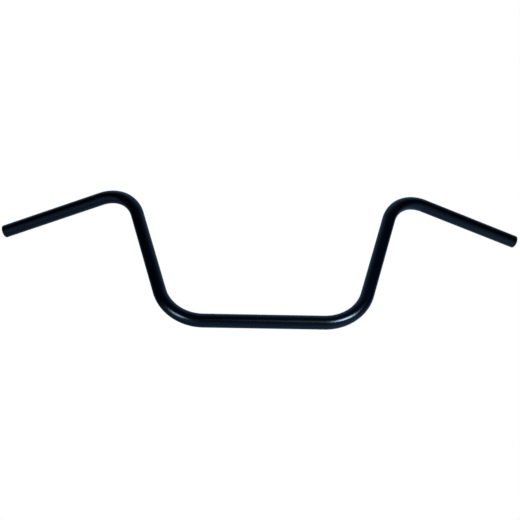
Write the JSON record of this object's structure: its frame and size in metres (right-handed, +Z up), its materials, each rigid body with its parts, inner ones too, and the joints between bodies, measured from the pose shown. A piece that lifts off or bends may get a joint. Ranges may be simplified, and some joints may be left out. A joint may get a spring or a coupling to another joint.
{
  "type": "ape hanger handlebar",
  "caption": "Tall motorbike handlebar bent from round steel tube: a straight clamp section, slanted risers, and straight, swept-back grip ends that are cut square and open.",
  "frame": {"origin": "centre of the clamp section, on the middle line of the tube", "axes": "+X along the clamp section to the rider's left, +Y back towards the rider, square to the plane of the risers, and +Z up in that plane"},
  "size_m": [0.919, 0.1126, 0.2734],
  "materials": {
    "black_coat": "semi-gloss black powder coat"
  },
  "bodies": {
    "root": {"handlebar": "black_coat"}
  },
  "joints": []
}
